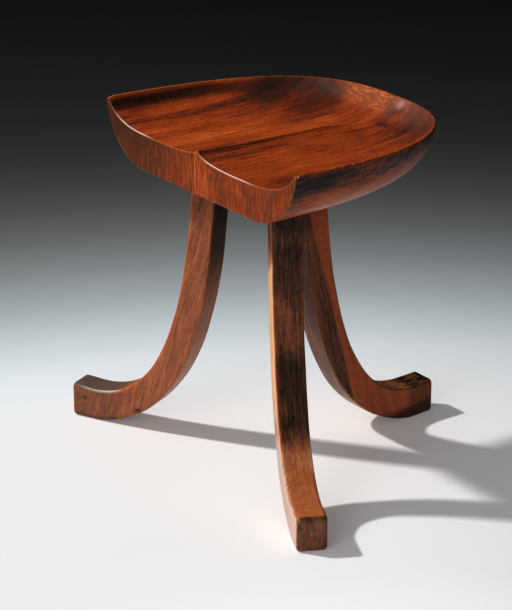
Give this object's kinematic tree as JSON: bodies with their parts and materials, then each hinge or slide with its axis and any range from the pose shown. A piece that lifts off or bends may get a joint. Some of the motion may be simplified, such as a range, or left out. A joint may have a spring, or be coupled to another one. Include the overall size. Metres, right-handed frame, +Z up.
{
  "type": "tripod stool",
  "caption": "Low wooden stool with a dished, half-round seat jointed from boards, carried on swept square legs tenoned into its underside.",
  "frame": {"origin": "on the floor, under the middle of the space the whole stool takes", "axes": "+X to the right as seen from the flat front edge of the seat, +Y from the flat front edge to the round back, +Z up"},
  "size_m": [0.473, 0.3526, 0.3999],
  "materials": {
    "seat_wood_left": "waxed satin, red-brown with dark streaks",
    "seat_wood_right": "waxed satin, red-brown",
    "leg_wood": "worn satin, brown with pale edges",
    "joinery_wood": "bare"
  },
  "bodies": {
    "root": {"seat_board_left": "seat_wood_left", "seat_board_right": "seat_wood_right", "leg_front_left": "leg_wood", "leg_front_right": "leg_wood", "leg_back": "leg_wood", "tenon_wedge_front_left": "joinery_wood", "tenon_wedge_front_right": "joinery_wood", "tenon_wedge_back": "joinery_wood", "edge_dowel_front": "joinery_wood", "edge_dowel_middle": "joinery_wood", "edge_dowel_back": "joinery_wood"}
  },
  "joints": []
}
